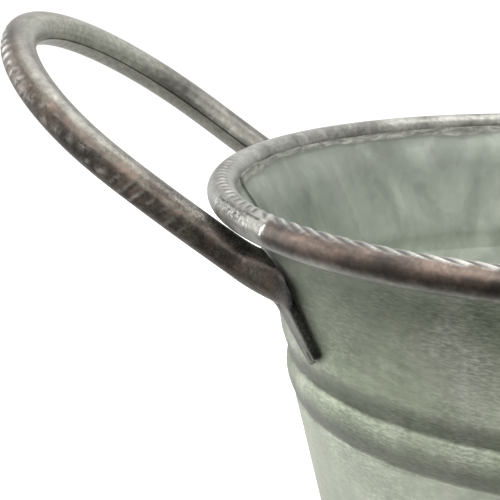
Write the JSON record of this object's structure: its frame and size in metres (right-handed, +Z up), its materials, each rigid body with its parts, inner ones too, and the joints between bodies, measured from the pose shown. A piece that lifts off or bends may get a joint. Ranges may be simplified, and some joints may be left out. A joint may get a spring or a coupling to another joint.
{
  "type": "florist bucket",
  "caption": "Tapered galvanised sheet-metal bucket for cut flowers, with a rolled rim, pressed ribs and rigid loop handles on both sides.",
  "frame": {"origin": "centre of the bottom edge, on the surface that the bucket stands on", "axes": "+Z up along the bucket's axis, +X from one handle to the other through both, +Y across to the back"},
  "size_m": [0.3312, 0.2078, 0.2195],
  "materials": {
    "galvanised_sheet": "satin galvanised zinc, weathered to a greenish grey, softly mottled with faint vertical streaks",
    "rim_patina": "bronze-brown patina, rubbed back to silver grey in places, fine rolling marks across it",
    "rim_wire_steel": "plain drawn steel wire, hidden inside the rolled rim",
    "pan_sheet": "satin galvanised zinc, a little darker and dustier than the wall",
    "handle_patina": "bronze-brown patina over rolled steel tube, with pale scratches and dents",
    "handle_patina_right": "bronze-brown patina over rolled steel tube, with pale scratches and dents"
  },
  "bodies": {
    "root": {"wall": "galvanised_sheet", "rim_band": "rim_patina", "rim_wire": "rim_wire_steel", "base_pan": "pan_sheet", "handle_left": "handle_patina", "handle_right": "handle_patina_right"}
  },
  "joints": []
}
